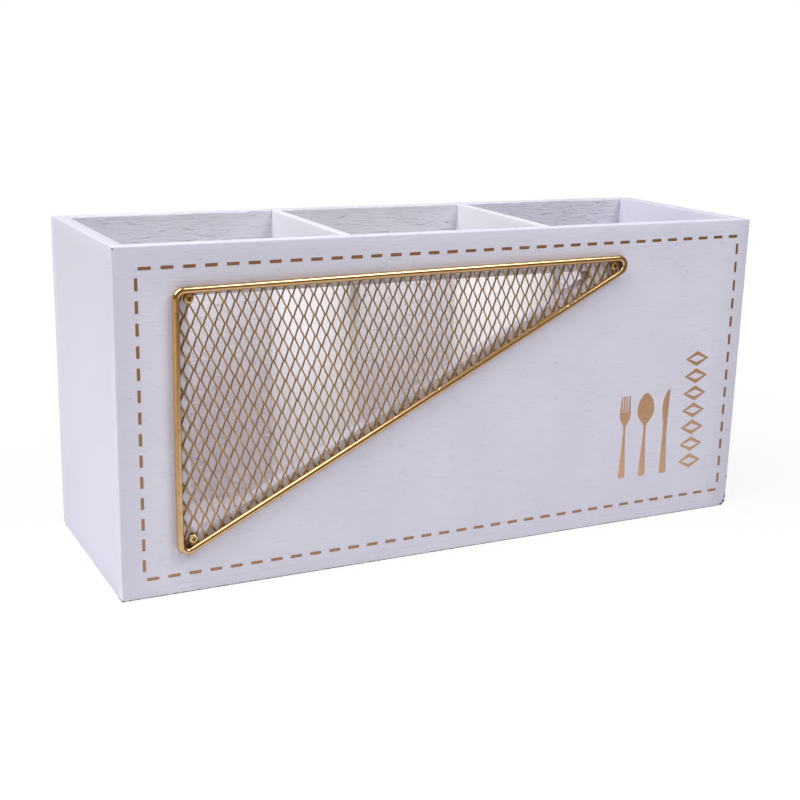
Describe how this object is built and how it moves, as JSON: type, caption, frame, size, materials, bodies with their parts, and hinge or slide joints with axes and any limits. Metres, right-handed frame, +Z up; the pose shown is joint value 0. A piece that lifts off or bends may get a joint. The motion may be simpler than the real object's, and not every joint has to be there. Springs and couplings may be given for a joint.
{
  "type": "cutlery box",
  "caption": "Open-topped wooden cutlery box with upright compartments and a triangular brass mesh window in its front board.",
  "frame": {"origin": "centre of the box's underside, on the surface it stands on", "axes": "+X to the right along the box, +Y from the front board with the window to the back, +Z up"},
  "size_m": [0.3, 0.1035, 0.14],
  "materials": {
    "painted_wood": "matt off-white paint over wood, with a gold-brown print on the front",
    "brass_mesh": "brass-plated expanded metal",
    "brass_wire": "bright brass plating",
    "brass_screws": "bright brass plating",
    "steel_pins": "plain steel"
  },
  "bodies": {
    "root": {"front_board": "painted_wood", "back_board": "painted_wood", "left_end_board": "painted_wood", "right_end_board": "painted_wood", "base_board": "painted_wood", "divider_1": "painted_wood", "divider_2": "painted_wood", "mesh_panel": "brass_mesh", "wire_frame": "brass_wire", "corner_screws": "brass_screws", "front_pins": "steel_pins", "back_pins": "steel_pins", "base_pins": "steel_pins"}
  },
  "joints": []
}
